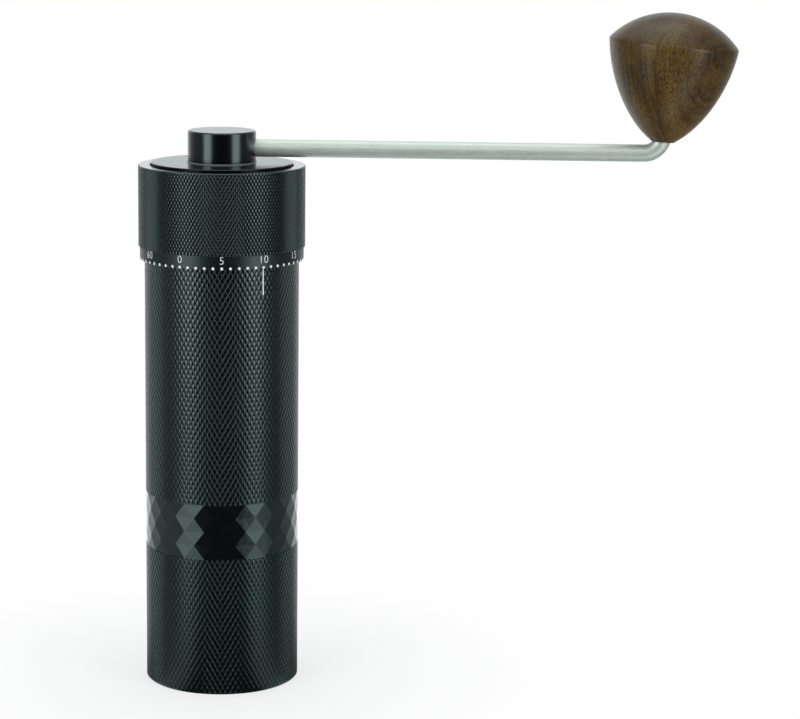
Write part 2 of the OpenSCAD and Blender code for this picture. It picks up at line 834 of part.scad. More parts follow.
// Folded band: corners on alternate levels are half a facet apart, and the level edges are valleys
module facet_band() {
    corner_r = body_r - band_inset;
    row_h = band_h / band_rows;
    n = band_facets;
    points = [
        for (j = [0 : band_rows]) for (i = [0 : n - 1])
            let (a = band_turn + (i + (j % 2) / 2) * 360 / n)
            [corner_r * cos(a), corner_r * sin(a), seam_z - band_h + j * row_h]
    ];
    walls = [
        for (j = [0 : band_rows - 1]) for (i = [0 : n - 1])
            let (
                low = j * n, high = low + n, k = (i + 1) % n,
                above = high + (j % 2 == 0 ? i : k), below = low + (j % 2 == 0 ? k : i)
            )
            each [[low + i, above, low + k], [high + i, high + k, below]]
    ];
    floor_face = [for (i = [0 : n - 1]) i];
    top_face = [for (i = [n - 1 : -1 : 0]) band_rows * n + i];
    polyhedron(points = points, faces = concat(walls, [floor_face, top_face]));
}

module catch_cup() {
    cavity_r = body_r - cup_wall;
    mouth_floor = seam_z - cup_mouth_h;
    color("#1b1f20") difference() {
        union() {
            cylinder(r1 = body_r - base_chamfer, r2 = body_r, h = base_chamfer);
            translate([0, 0, base_chamfer]) cylinder(r = body_r, h = cup_h - base_chamfer);
            facet_band();
        }
        translate([0, 0, cup_floor]) cylinder(r = cavity_r, h = seam_z);
        translate([0, 0, mouth_floor]) cylinder(r = spigot_r + screw_fit, h = cup_mouth_h + over);
    }
}

body_tube();
outer_burr();
burr_pins();
burr_retaining_ring();
lower_bearing_frame();
frame_circlip();
lower_bearing_outer_ring();
lower_bearing_shields();
lower_bearing_circlip();
lower_bearing_inner_ring();
lower_bearing_balls();
lower_bearing_cage();
bearing_bridge();
click_springs();
click_balls();
upper_bearing_outer_ring();
upper_bearing_shields();
upper_bearing_circlip();
upper_bearing_balls();
upper_bearing_cage();
adjustment_dial();
dial_thread_ring();
click_plate();
slide_washer();
drive_shaft();
upper_bearing_inner_ring();
shaft_circlip();
cone_burr();
burr_washer();
burr_nut();
crank_hub();
drive_socket();
crank_arm();
arm_pin();
lid_circlip();
knob_circlip();
lid_plate();
lid_bush();
lid_seal();
crank_knob();
knob_sleeve();
catch_cup();
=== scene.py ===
"""Looks of a hand crank coffee grinder: knurled black shell, faceted band, steel crank, walnut knob.

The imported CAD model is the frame. Lengths are written in millimetres and turned into metres by MM.
"""

import math

import bmesh
import bpy
from mathutils import Matrix, Vector
from mathutils.geometry import interpolate_bezier


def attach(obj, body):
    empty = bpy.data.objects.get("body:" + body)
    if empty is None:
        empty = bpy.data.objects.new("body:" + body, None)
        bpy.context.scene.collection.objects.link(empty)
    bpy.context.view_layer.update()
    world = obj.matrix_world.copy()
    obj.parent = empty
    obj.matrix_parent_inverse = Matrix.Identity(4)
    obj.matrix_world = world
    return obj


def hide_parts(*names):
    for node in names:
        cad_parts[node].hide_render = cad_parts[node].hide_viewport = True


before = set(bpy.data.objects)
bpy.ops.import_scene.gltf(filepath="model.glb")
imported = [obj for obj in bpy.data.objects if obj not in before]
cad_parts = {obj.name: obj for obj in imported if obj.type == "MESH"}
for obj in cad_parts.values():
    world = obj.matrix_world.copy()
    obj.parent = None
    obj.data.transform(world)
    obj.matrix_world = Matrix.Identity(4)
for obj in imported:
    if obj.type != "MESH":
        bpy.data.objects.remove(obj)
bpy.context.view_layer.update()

MM = 0.001
UP = Vector((0, 0, 1))
CENTRE = (0, 0, 0)
TURN = 2 * math.pi

# Heights and radii of the construction, in millimetres
BODY_R = 26.9
SEAM_Z = 67.9
SHOULDER_Z = 151.77
SPIGOT_R = 25.3
NECK_R = 25.8
CUP_KNURL_TOP = 48.6
CUP_CHAMFER = 0.6
DIAL_Z = 150.4
DIAL_TOP = 183.2
BAND_R = 28.5
BAND_TOP = 155.1
DIAL_R = 29.0
DIAL_SKIRT_R = 27.2
PLATE_TOP = 172.0
BORE_R = 24.05
MOUTH_R = 25.0
MOUTH_Z = 181.8
LID_TOP = 184.1
HUB_R = 11.85
ARM_Z = 189.03
KNOB_X = 151.9
KNOB_LEAN = math.radians(5.2)

# Knurls: diamonds round the body, and half the length of one diamond
SHELL_DIAMONDS = 91
SHELL_ROW = 1.62
DIAL_DIAMONDS = 139
DIAL_ROW = 1.13

# Grooves between the diamonds: half width and depth
SHELL_GROOVE = (0.1, 0.093)
DIAL_GROOVE = (0.16, 0.143)

# Soft edge round each diamond's crest
CREST_EDGE_W = 0.03
CREST_EDGE_H = 0.012

# Dial marks
CLICKS = 60
NUMBER_STEP = 5
NUMBERS = [*range(0, CLICKS - NUMBER_STEP, NUMBER_STEP), CLICKS]
FIVE_ANGLE = math.radians(-85.6)
CLICK_ANGLE = TURN / CLICKS
INDEX_ANGLE = math.radians(-54.0)

# White fill of the marks: its thickness, and how far its middle stands off the band
MARK_T = 0.06
MARK_STAND = 0.01

# How far apart corners may lie and still become one
MERGE = 0.001
DIAMOND_MERGE = 0.005
FINE_MERGE = 0.0005

# Margins for picking faces and edges: at one height, on a wall, and round a rim
LEVEL = 0.01
RIM_LEVEL = 0.02
SKIN = 0.05
RIM_MARGIN = 0.1

# The facets and the ledge above the cup's knurl lie this near to the shell's radius
CUP_FACET_DEPTH = 0.6
CUP_LEDGE = 0.5

# Places of the finishes on a piece that has several. The first, 0, is its plain one.
KNURL_FINISH = 1
FACET_FINISH = 2
BAND_FINISH = 2
RIM_FINISH = 3


# ---------- shader maths ----------


# Most noise lies in this span, so a remap from it uses nearly all of its new range
NOISE_SPAN = (0.3, 0.7)


class Wire:
    """A shader value that adds, subtracts, multiplies and takes powers like a number"""

    def __init__(self, graph, socket):
        self.graph = graph
        self.socket = socket

    def __add__(self, other):
        return self.graph.maths("ADD", self, other)

    def __radd__(self, other):
        return self.graph.maths("ADD", other, self)

    def __sub__(self, other):
        return self.graph.maths("SUBTRACT", self, other)

    def __rsub__(self, other):
        return self.graph.maths("SUBTRACT", other, self)

    def __mul__(self, other):
        return self.graph.maths("MULTIPLY", self, other)

    def __rmul__(self, other):
        return self.graph.maths("MULTIPLY", other, self)

    def __pow__(self, other):
        return self.graph.maths("POWER", self, other)


class Graph:
    """The nodes of one material or world"""

    def __init__(self, tree):
        self.tree = tree
        self.output = None
        tree.nodes.clear()

    def node(self, kind, settings=None, inputs=None):
        """Adds one node and returns its outputs by name"""
        made = self.tree.nodes.new("ShaderNode" + kind)
        for name, value in (settings or {}).items():
            if name == "stops":
                self._set_stops(made.color_ramp, value)
            else:
                setattr(made, name, value)
        if isinstance(inputs, dict):
            live = {socket.name: socket for socket in reversed(made.inputs) if socket.enabled}
            pairs = [(live[name], value) for name, value in inputs.items()]
        else:
            pairs = zip([socket for socket in made.inputs if socket.enabled], inputs or [])
        for socket, value in pairs:
            self._feed(socket, value)
        outputs = [socket for socket in reversed(made.outputs) if socket.enabled]
        return {socket.name: Wire(self, socket) for socket in outputs}

    def _set_stops(self, ramp, stops):
        """Sets a ramp's places and its shades, which are colours or greys"""
        while len(ramp.elements) < len(stops):
            ramp.elements.new(0.5)
        for element, (place, shade) in zip(ramp.elements, stops):
            element.position = place
            element.color = (*shade, 1) if hasattr(shade, "__len__") else (shade, shade, shade, 1)

    def _feed(self, socket, value):
        """Links a value to a socket, or sets the socket to it"""
        if isinstance(value, Wire):
            self.tree.links.new(value.socket, socket)
        elif hasattr(value, "__len__") and socket.type == "RGBA":
            socket.default_value = (*value, 1)
        else:
            socket.default_value = value

    def maths(self, operation, *values):
        """Maths on numbers"""
        return self.node("Math", {"operation": operation}, values)["Value"]

    def vector(self, operation, *values):
        """Vector maths that gives a vector"""
        return self.node("VectorMath", {"operation": operation}, values)["Vector"]

    def measure(self, operation, *values):
        """Vector maths that gives a number"""
        return self.node("VectorMath", {"operation": operation}, values)["Value"]

    def axes(self, vector):
        """The X, Y and Z of a vector"""
        return self.node("SeparateXYZ", None, [vector])

    def combined(self, x, y, z):
        """A vector from its X, Y and Z"""
        return self.node("CombineXYZ", None, [x, y, z])["Vector"]

    def place(self):
        """Where a point lies on the object, in metres"""
        return self.node("TexCoord")["Object"]

    def stretched(self, scale, location=(0, 0, 0), rotation=(0, 0, 0)):
        """Object coordinates turned into another frame, then stretched"""
        moved = self.node(
            "Mapping",
            {"vector_type": "TEXTURE"},
            {"Vector": self.place(), "Location": location, "Rotation": rotation},
        )["Vector"]
        return self.vector("MULTIPLY", moved, scale)

    def noise(self, vector, scale=1.0, detail=3, roughness=0.5):
        """Noise of 0 to 1 at a vector"""
        inputs = {"Vector": vector, "Scale": scale, "Detail": detail, "Roughness": roughness}
        return self.node("TexNoise", None, inputs)["Fac"]

    def speckle(self, size_mm, detail, roughness=0.5):
        """Noise with features of about one size"""
        return self.noise(self.place(), 1 / (size_mm * MM), detail, roughness)

    def ramp(self, value, stops):
        """A colour that follows a value along its stops"""
        return self.node("ValToRGB", {"stops": stops}, [value])["Color"]

    def remap(self, value, low, high, new_low=0.0, new_high=1.0):
        """Carries a value from one range to another and stops at its ends"""
        inputs = [value, low, high, new_low, new_high]
        return self.node("MapRange", {"clamp": True}, inputs)["Result"]

    def wander(self, noise, middle, less, more):
        """A number that wanders with noise, from a little under its middle to a little over it"""
        return self.remap(noise, *NOISE_SPAN, middle - less, middle + more)

    def mix(self, factor, first, second):
        """Mixes two colours"""
        inputs = {"Factor": factor, "A": first, "B": second}
        return self.node("Mix", {"data_type": "RGBA"}, inputs)["Result"]

    def varied(self, noise, shade, darkest, lightest):
        """A shade that wanders with noise between a darker and a lighter one"""
        dark, light = ([min(1, part * level) for part in shade] for level in (darkest, lightest))
        return self.mix(self.remap(noise, *NOISE_SPAN), dark, light)

    def bump(self, height, depth_mm, strength=1.0, over=None):
        """A normal from heights of 0 to 1 that stand depth_mm tall, over another normal if given"""
        inputs = {"Height": height, "Distance": depth_mm * MM, "Strength": strength}
        if over:
            inputs["Normal"] = over
        return self.node("Bump", None, inputs)["Normal"]

    def surface(self, shader):
        """Sends a shader to the material's one output"""
        if self.output is None:
            self.output = self.tree.nodes.new("ShaderNodeOutputMaterial")
        self.tree.links.new(shader.socket, self.output.inputs["Surface"])

    def principled(self, inputs):
        """The material's main shader"""
        shader = self.node("BsdfPrincipled", None, inputs)["BSDF"]
        self.surface(shader)
        return shader

    def dull(self, shader, share):
        """Covers a share of a shader with painted shade, a dead black diffuse"""
        # Painted shade: a dead black diffuse mixed over the shader
        painted_black = self.node("BsdfDiffuse", None, {"Color": BLACK_SHADE})["BSDF"]
        self.surface(self.node("MixShader", None, [share, shader, painted_black])["Shader"])


def new_finish(name, viewport):
    """An empty material and its graph"""
    material = bpy.data.materials.new(name)
    material.use_nodes = True
    material.diffuse_color = (*viewport, 1)
    return material, Graph(material.node_tree)


# ---------- finishes ----------


BLACK_SHADE = (0.0016, 0.0022, 0.0023)
OXIDE_IOR = 1.66
OXIDE_TINT = (0.70, 1.0, 0.98)

# Blasted grain of the dyed aluminium, and the slow changes of roughness across it
BLAST_GRAIN = 0.12
BLAST_GRAIN_FINE = 0.08
CLOUD_SIZE = 14
CLOUD_SPREAD = 0.08

# Shares of a groove's depth: the oxide is whole down to the first, and from the second it is covered
# with painted shade, dead black
GROOVE_BRIGHT = 0.5
GROOVE_SHADE_FULL = 0.85

# The lid's side takes painted shade, dead black, up to this far below its top. Then the half
# width of the border between painted shade and bright, and the share of the oxide it covers
LID_EDGE = 0.25
PAINTED_SHADE_BORDER = 0.05
PAINTED_SHADE_SHARE = 0.85


def blasted(g, grain_mm):
    """Grain and clouds of blasted aluminium"""
    return g.speckle(grain_mm, detail=2), g.speckle(CLOUD_SIZE, detail=4, roughness=0.6)


def anodised(
    name, shade, roughness, grain_mm=BLAST_GRAIN, ior=OXIDE_IOR, seal=0.0, painted_shade_below=None
):
    """Blasted and dyed aluminium: a fine matt grain under a clear oxide

    Turned faces have a smooth seal over it. Below a height in millimetres it can be covered with
    painted shade, dead black.
    """
    material, g = new_finish(name, shade)
    grain, cloud = blasted(g, grain_mm)
    worn = g.remap(cloud, 0.35, 0.7, new_low=0.88, new_high=1.14)
    oxide = g.principled(
        {
            "Base Color": g.vector("SCALE", shade, worn),
            "Roughness": g.wander(grain, roughness, 0.04, 0.04) + (cloud - 0.5) * CLOUD_SPREAD,
            "IOR": ior,
            "Specular Tint": OXIDE_TINT,
            "Coat Weight": seal,
            "Coat Roughness": 0.18,
            "Coat IOR": 1.4,
            "Normal": g.bump(grain, depth_mm=0.006, strength=0.5),
        }
    )
    # Painted shade: below the given height the oxide is covered with dead black
    if painted_shade_below:
        height = g.axes(g.place())["Z"]
        border = (painted_shade_below - PAINTED_SHADE_BORDER) * MM, (painted_shade_below + PAINTED_SHADE_BORDER) * MM
        g.dull(oxide, g.remap(height, *border, 1, 0) * PAINTED_SHADE_SHARE)
    return material


def knurled_black(name, radius, depth, ior):
    """The same oxide on a knurl: bright on crests and walls, with painted shade, dead black, down in
    the grooves
    """
    material, g = new_finish(name, BLACK_SHADE)
    grain, cloud = blasted(g, BLAST_GRAIN)
    out = g.measure("LENGTH", g.vector("MULTIPLY", g.place(), (1, 1, 0)))
    border = (radius - GROOVE_SHADE_FULL * depth) * MM, (radius - GROOVE_BRIGHT * depth) * MM
    # Painted shade: dead black covers the oxide deep in the grooves
    groove_shade = g.remap(out, *border, 1, 0)
    oxide = g.principled(
        {
            "Base Color": BLACK_SHADE,
            "Roughness": g.wander(grain, 0.2, 0.04, 0.04) + (cloud - 0.5) * CLOUD_SPREAD,
            "IOR": ior,
            "Specular Tint": OXIDE_TINT,
            "Normal": g.bump(grain, depth_mm=0.006, strength=0.5),
        }
    )
    g.dull(oxide, groove_shade)
    return material


def milled_black(name, roughness):
    """The oxide on milled facets: fine level tool lines and a slight wave across each face"""
    material, g = new_finish(name, BLACK_SHADE)
    along, upward = 180, 1 / (0.16 * MM)
    lines = g.noise(g.stretched((along, along, upward)), detail=2, roughness=0.6)
    wave = g.speckle(5.5, detail=2, roughness=0.4)
    fine = g.bump(lines, depth_mm=0.006, strength=0.6)
    g.principled(
        {
            "Base Color": BLACK_SHADE,
            "Roughness": g.wander(lines, roughness, 0.04, 0.06) + (wave - 0.5) * 0.06,
            "IOR": 1.85,
            "Specular Tint": OXIDE_TINT,
            "Coat Weight": 0.8,
            "Coat Roughness": 0.14,
            "Coat IOR": 1.4,
            "Normal": g.bump(wave, depth_mm=0.12, over=fine),
        }
    )
    return material


def brushed_steel(name, shade, roughness, metallic, streak_length, streak_width):
    """Steel with fine lines drawn along X, blasted matt where it is less metallic"""
    material, g = new_finish(name, shade)
    along, across = 1 / (streak_length * MM), 1 / (streak_width * MM)
    lines = g.noise(g.stretched((along, across, across)), roughness=0.6)
    cloud = g.speckle(9, detail=3)
    rough = g.remap(lines, 0.25, 0.75, roughness - 0.06, roughness + 0.06)
    g.principled(
        {
            "Base Color": g.varied(lines, shade, 0.86, 1.1),
            "Metallic": metallic,
            "Roughness": rough + (cloud - 0.5) * 0.1,
            "Normal": g.bump(lines, depth_mm=0.006, strength=0.5),
        }
    )
    return material


def turned_metal(name, shade, roughness):
    """Lathe-turned metal: fine rings round the upright axis"""
    material, g = new_finish(name, shade)
    axes = g.axes(g.place())
    radius = (axes["X"] * axes["X"] + axes["Y"] * axes["Y"]) ** 0.5
    rings_per_metre = 1 / (0.09 * MM)
    rings = g.noise(g.combined(radius * rings_per_metre, axes["Z"] * rings_per_metre, 0.0), detail=2)
    cloud = g.speckle(6, detail=3)
    g.principled(
        {
            "Base Color": g.varied(cloud, shade, 0.9, 1.06),
            "Metallic": 1.0,
            "Roughness": g.wander(rings, roughness, 0.05, 0.07),
            "Normal": g.bump(rings, depth_mm=0.005, strength=0.4),
        }
    )
    return material


def moulded(name, shade, roughness):
    """Moulded plastic, rubber or filled paint with a faint orange-peel skin"""
    material, g = new_finish(name, shade)
    skin = g.speckle(0.5, detail=3)
    cloud = g.speckle(8, detail=2)
    g.principled(
        {
            "Base Color": g.varied(cloud, shade, 0.93, 1.0),
            "Roughness": g.wander(skin, roughness, 0.05, 0.06),
            "Normal": g.bump(skin, depth_mm=0.01, strength=0.4),
        }
    )
    return material


# Walnut's rings from dark to pale and part of the way back, its thin dark line of late wood, and
# the shades of what lies over them
WALNUT_RINGS = [
    (0.30, (0.034, 0.015, 0.004)),
    (0.42, (0.066, 0.030, 0.007)),
    (0.51, (0.102, 0.050, 0.010)),
    (0.62, (0.148, 0.079, 0.017)),
    (0.76, (0.092, 0.047, 0.011)),
]
LATE_WOOD_LINE = [(0.462, 0.0), (0.482, 0.85), (0.488, 0.85), (0.515, 0.0)]
LATE_WOOD_SHADE = (0.010, 0.006, 0.003)
FIBRE_SHADE = (0.018, 0.009, 0.003)
WARM_SHADE = (0.175, 0.095, 0.020)
PORE_SHADE = (0.008, 0.005, 0.002)

# Where the tree's pith lies beside the knob's axis, in millimetres, and its growth rings
PITH = (58, 36)
RINGS_PER_METRE = 235.0
RING_WANDER = 3.4

# How finely each thing in the wood repeats across the knob and along it, per metre
WAVE_STRETCH = (38, 38, 9)
FIBRE_STRETCH = (2600, 2600, 260)
PORE_STRETCH = (2100, 2100, 650)
MOTTLE_STRETCH = (170, 170, 90)


def walnut():
    """Oiled walnut whose growth rings run along the knob's axis"""
    material, g = new_finish("walnut", (0.09, 0.045, 0.02))

    def in_knob(scale):
        """Coordinates in the knob's own leaning frame"""
        return g.stretched(scale, location=(KNOB_X * MM, 0, ARM_Z * MM), rotation=(0, KNOB_LEAN, 0))

    local = in_knob((1, 1, 1))
    wave = g.noise(in_knob(WAVE_STRETCH), detail=3, roughness=0.55)
    axes = g.axes(local)
    across = ((axes["X"] + PITH[0] * MM) ** 2.0 + (axes["Y"] - PITH[1] * MM) ** 2.0) ** 0.5
    ring = across * RINGS_PER_METRE + (wave - 0.5) * RING_WANDER
    bands = g.noise(g.combined(ring, 0.0, axes["Z"] * 6.0), detail=4, roughness=0.62)
    fibre = g.noise(in_knob(FIBRE_STRETCH), detail=3, roughness=0.6)
    pores = g.noise(in_knob(PORE_STRETCH), detail=2, roughness=0.6)
    mottle = g.noise(in_knob(MOTTLE_STRETCH), detail=4, roughness=0.6)
    late_wood = g.noise(g.combined(ring * 1.15, 4.0, axes["Z"] * 7.0), detail=1, roughness=0.4)
    shade = g.mix(g.ramp(late_wood, LATE_WOOD_LINE), g.ramp(bands, WALNUT_RINGS), LATE_WOOD_SHADE)
    shade = g.mix(g.remap(fibre, 0.35, 0.68, 0, 0.55), shade, FIBRE_SHADE)
    shade = g.mix(g.remap(mottle, 0.38, 0.68, 0, 0.45), shade, WARM_SHADE)
    shade = g.mix(g.remap(pores, 0.52, 0.62, 0, 0.75), shade, PORE_SHADE)
    g.principled(
        {
            "Base Color": shade,
            "Roughness": g.wander(fibre, 0.32, 0.06, 0.06),
            "IOR": 1.42,
            "Specular Tint": (0.86, 1.0, 0.93),
            "Normal": g.bump(fibre * 0.5 + pores * 0.5, depth_mm=0.03, strength=0.35),
        }
    )
    return material


black = anodised("black_anodised", BLACK_SHADE, 0.2, ior=1.8)
# The two knurl finishes carry painted shade, dead black, down in their grooves
shell_black = knurled_black("black_anodised_shell", BODY_R, SHELL_GROOVE[1], ior=1.78)
dial_black = knurled_black("black_anodised_dial", DIAL_R, DIAL_GROOVE[1], ior=1.68)
black_band = anodised("black_anodised_band", BLACK_SHADE, 0.36)
black_smooth = anodised(
    "black_anodised_smooth", BLACK_SHADE, 0.22, grain_mm=BLAST_GRAIN_FINE, ior=1.5, seal=0.55
)
black_facet = milled_black("black_anodised_facets", 0.14)
black_rim = anodised(
    "black_anodised_rim", BLACK_SHADE, 0.18, grain_mm=BLAST_GRAIN_FINE, ior=1.6, seal=1.0
)
# The lid's side below its top edge takes painted shade, dead black
black_lid = anodised(
    "black_anodised_lid",
    BLACK_SHADE,
    0.22,
    grain_mm=BLAST_GRAIN_FINE,
    ior=1.5,
    seal=0.45,
    painted_shade_below=LID_TOP - LID_EDGE,
)
grey = anodised("grey_anodised", (0.16, 0.17, 0.175), 0.34)
steel = brushed_steel(
    "satin_steel", (0.72, 0.79, 0.73), 0.47, metallic=0.7, streak_length=3.2, streak_width=0.17
)
burr_steel = turned_metal("burr_steel", (0.42, 0.42, 0.41), 0.33)
spring_steel = turned_metal("spring_steel", (0.20, 0.20, 0.21), 0.3)
bearing_steel = turned_metal("bearing_steel", (0.60, 0.61, 0.62), 0.16)
turned_steel = turned_metal("turned_steel", (0.55, 0.56, 0.56), 0.25)
brass = turned_metal("brass", (0.66, 0.45, 0.17), 0.26)
white_plastic = moulded("white_plastic", (0.72, 0.72, 0.69), 0.42)
rubber = moulded("black_rubber", (0.02, 0.02, 0.021), 0.55)
wood = walnut()
white_mark = moulded("mark_white", (0.86, 0.87, 0.86), 0.5)


def finish_nodes(finish, *node_names):
    """Gives CAD nodes their finish"""
    for node_name in node_names:
        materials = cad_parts[node_name].data.materials
        materials.clear()
        materials.append(finish)


finish_nodes(black, "body_tube", "adjustment_dial", "catch_cup")
finish_nodes(black_smooth, "crank_hub")
finish_nodes(black_lid, "lid_plate")
finish_nodes(grey, "burr_retaining_ring", "lower_bearing_frame", "bearing_bridge")
finish_nodes(steel, "crank_arm")
finish_nodes(burr_steel, "outer_burr", "cone_burr")
finish_nodes(turned_steel, "burr_pins", "burr_washer", "burr_nut", "click_plate")
finish_nodes(turned_steel, "drive_shaft", "drive_socket", "arm_pin")
finish_nodes(spring_steel, "click_springs", "frame_circlip", "shaft_circlip")
finish_nodes(spring_steel, "lid_circlip", "knob_circlip")
finish_nodes(bearing_steel, "click_balls")
finish_nodes(brass, "dial_thread_ring", "knob_sleeve")
finish_nodes(white_plastic, "slide_washer", "lid_bush")
finish_nodes(rubber, "lid_seal")
finish_nodes(wood, "crank_knob")

for bearing in ("lower_bearing", "upper_bearing"):
    finish_nodes(bearing_steel, bearing + "_outer_ring", bearing + "_inner_ring")
    finish_nodes(bearing_steel, bearing + "_shields", bearing + "_balls")
    finish_nodes(spring_steel, bearing + "_circlip")
    finish_nodes(brass, bearing + "_cage")


# ---------- mesh helpers ----------


def at(radius, turn, height):
    """A point from its distance to the axis, its turn about it and its height in millimetres"""
    return Vector((radius * math.cos(turn), radius * math.sin(turn), height)) * MM


def radius_and_height(vert):
    """A corner's distance to the axis and its height, in millimetres"""
    return vert.co.xy.length / MM, vert.co.z / MM


def everything(bm):
    """All the corners, edges and faces of a bmesh"""
    return bm.verts[:] + bm.edges[:] + bm.faces[:]


def set_edges(bm, sharp_degrees=34, flat=None):
    """Smooth faces, with edges sharper than a limit left crisp.

    Faces whose every corner passes a test on (radius, height) stay flat.
    """
    limit = math.radians(sharp_degrees)
    for face in bm.faces:
        face.smooth = not (flat and all(flat(*radius_and_height(vert)) for vert in face.verts))
    for edge in bm.edges:
        edge.smooth = len(edge.link_faces) == 2 and edge.calc_face_angle(0) < limit


def piece_from(bm, name, body, finishes, replaced=()):
    """Turns a finished bmesh into a piece that rides on a body and may stand for CAD nodes"""
    mesh = bpy.data.meshes.new(name)
    bm.to_mesh(mesh)
    bm.free()
    for finish in finishes:
        mesh.materials.append(finish)
    piece = bpy.data.objects.new(name, mesh)
    bpy.context.scene.collection.objects.link(piece)
    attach(piece, body)
    if replaced:
        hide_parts(*replaced)


def spun_outline(bm, outline, steps, closed=False):
    """Spins a line of (radius, height) points round the axis"""
    verts = [bm.verts.new(at(radius, 0, height)) for radius, height in outline]
    ends = verts[1:] + verts[:1] if closed else verts[1:]
    edges = [bm.edges.new(pair) for pair in zip(verts, ends)]
    bmesh.ops.spin(
        bm, geom=verts + edges, cent=CENTRE, axis=UP, angle=TURN, steps=steps, use_merge=True
    )


def repeat_round(bm, count):
    """Copies all that a bmesh holds, so that it stands count times round the axis"""
    bmesh.ops.spin(
        bm,
        geom=everything(bm),
        cent=CENTRE,
        axis=UP,
        angle=TURN * (count - 1) / count,
        steps=count - 1,
        use_duplicate=True,
    )


def knurl(radius, around, row, bottom, top, groove):
    """An open sleeve of raised diamonds, cut level at both ends

    Row is half a diamond's length, and groove is half its width and its depth. The faces take the
    piece's second finish.
    """
    bm = bmesh.new()
    reach, depth = groove
    half = math.pi / around
    root = radius - depth
    rows = math.ceil((top - bottom) / row) + 2
    start = bottom - row / 2
    corners = [
        at(root, -half, start),
        at(root, 0, start - row),
        at(root, half, start),
        at(root, 0, start + row),
    ]
    diamond = bm.faces.new([bm.verts.new(corner) for corner in corners])
    bmesh.ops.spin(
        bm,
        geom=list(diamond.verts) + list(diamond.edges) + [diamond],
        cent=CENTRE,
        axis=UP,
        dvec=UP * row * MM,
        angle=half * (rows - 1),
        steps=rows - 1,
        use_duplicate=True,
    )
    repeat_round(bm, around)
    bmesh.ops.remove_doubles(bm, verts=bm.verts, dist=DIAMOND_MERGE * MM)
    crests = bm.faces[:]
    wall = (reach, depth - CREST_EDGE_H, radius - CREST_EDGE_H)
    soft_edge = (CREST_EDGE_W, CREST_EDGE_H, radius)
    for width, rise, level in (wall, soft_edge):
        bmesh.ops.inset_individual(
            bm, faces=crests, thickness=width * MM, depth=rise * MM, use_even_offset=True
        )
        for vert in {vert for crest in crests for vert in crest.verts}:
            vert.co.xy *= level * MM / vert.co.xy.length
    bmesh.ops.triangulate(bm, faces=crests, quad_method="ALTERNATE")
    for height, outward in ((bottom, -1), (top, 1)):
        bmesh.ops.bisect_plane(
            bm,
            geom=everything(bm),
            dist=MERGE * MM,
            plane_co=UP * height * MM,
            plane_no=UP * outward,
            clear_outer=True,
        )
    for face in bm.faces:
        face.material_index = KNURL_FINISH
    return bm


def rim(bm, height, low, high):
    """Open edges at a height, between two radii"""

    def on_rim(vert):
        r, z = radius_and_height(vert)
        return abs(z - height) < RIM_LEVEL and low < r < high

    open_edges = [edge for edge in bm.edges if len(edge.link_faces) == 1]
    return [edge for edge in open_edges if all(on_rim(vert) for vert in edge.verts)]


def join_rims(bm, *rims):
    """Closes the gap between open rims"""
    bmesh.ops.bridge_loops(bm, edges=[edge for found in rims for edge in found])


def add_mesh(bm, other):
    """Copies one bmesh into another"""
    carrier = bpy.data.meshes.new("carrier")
    other.to_mesh(carrier)
    other.free()
    bm.from_mesh(carrier)
    bpy.data.meshes.remove(carrier)


def merged_copy(node_name):
    """A CAD node's mesh with its loose triangles joined"""
    bm = bmesh.new()
    bm.from_mesh(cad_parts[node_name].data)
    bmesh.ops.remove_doubles(bm, verts=bm.verts, dist=MERGE * MM)
    bmesh.ops.dissolve_degenerate(bm, edges=bm.edges, dist=FINE_MERGE * MM)
    return bm


def drop_faces(bm, inside):
    """Deletes the faces whose every corner passes a test on (radius, height) in millimetres"""
    doomed = [
        face
        for face in bm.faces
        if all(inside(*radius_and_height(vert)) for vert in face.verts)
    ]
    bmesh.ops.delete(bm, geom=doomed, context="FACES")


# ---------- body and cup ----------


def shell_knurl(bottom, top):
    """The knurl that the body and the cup share, between two heights"""
    return knurl(BODY_R, SHELL_DIAMONDS, SHELL_ROW, bottom, top, SHELL_GROOVE)


def knurled_body():
    """The body tube with its plain wall between seam and shoulder replaced by a knurl"""
    bm = merged_copy("body_tube")
    drop_faces(bm, lambda r, z: r > BODY_R - SKIN and SEAM_Z - LEVEL < z < SHOULDER_Z + LEVEL)
    drop_faces(bm, lambda r, z: r > SPIGOT_R - SKIN and abs(z - SEAM_Z) < LEVEL)
    drop_faces(bm, lambda r, z: r > NECK_R - SKIN and abs(z - SHOULDER_Z) < LEVEL)
    add_mesh(bm, shell_knurl(SEAM_Z, SHOULDER_Z))
    join_rims(bm, rim(bm, SEAM_Z, SPIGOT_R - RIM_MARGIN, BODY_R + RIM_MARGIN))
    join_rims(bm, rim(bm, SHOULDER_Z, NECK_R - RIM_MARGIN, BODY_R + RIM_MARGIN))
    set_edges(bm)
    piece_from(bm, "knurled_body", "body", [black, shell_black], ["body_tube"])


def knurled_cup():
    """The catch cup with a knurled wall under its milled facets"""
    bm = merged_copy("catch_cup")
    wall_r = BODY_R - SKIN
    ledge_r = BODY_R - CUP_LEDGE
    facet_r = BODY_R - CUP_FACET_DEPTH
    drop_faces(bm, lambda r, z: r > wall_r and CUP_CHAMFER - LEVEL < z < CUP_KNURL_TOP + LEVEL)
    drop_faces(bm, lambda r, z: r > ledge_r and abs(z - CUP_KNURL_TOP) < LEVEL)
    add_mesh(bm, shell_knurl(CUP_CHAMFER, CUP_KNURL_TOP))
    join_rims(bm, rim(bm, CUP_CHAMFER, ledge_r, BODY_R + RIM_MARGIN))
    join_rims(bm, rim(bm, CUP_KNURL_TOP, facet_r, BODY_R + RIM_MARGIN))
    set_edges(bm, flat=lambda r, z: r > facet_r and z > CUP_KNURL_TOP - LEVEL)
    for face in bm.faces:
        if not face.smooth:
            face.material_index = FACET_FINISH
    finishes = [black, shell_black, black_facet]
    piece_from(bm, "knurled_cup", "cup", finishes, ["catch_cup"])


knurled_body()
knurled_cup()


# ---------- dial ----------


